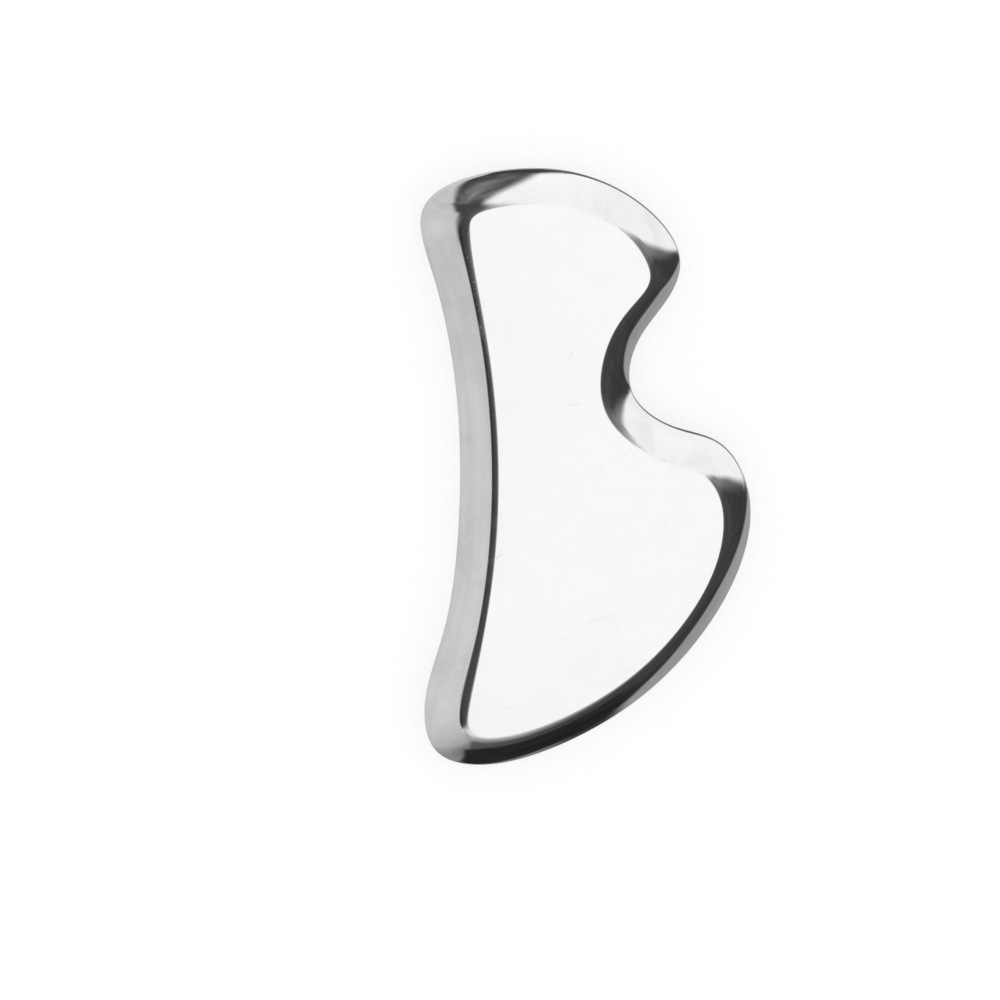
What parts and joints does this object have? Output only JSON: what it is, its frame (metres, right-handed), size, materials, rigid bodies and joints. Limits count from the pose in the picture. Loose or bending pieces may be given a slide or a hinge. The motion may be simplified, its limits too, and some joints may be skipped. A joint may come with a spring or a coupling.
{
  "type": "gua sha scraper",
  "caption": "Flat polished metal massage scraper in a B outline, with a long hollow edge, rounded lobes either side of a notch, and a bevelled rim all round.",
  "frame": {"origin": "centre of the bounding box's bottom, on the flat face that the scraper lies on", "axes": "+Z out of the upper flat face, +Y along the length towards the narrow lobe, +X towards the notch side"},
  "size_m": [0.065, 0.1132, 0.008],
  "materials": {
    "polished_steel": "polished"
  },
  "bodies": {
    "root": {"scraper_body": "polished_steel"}
  },
  "joints": []
}
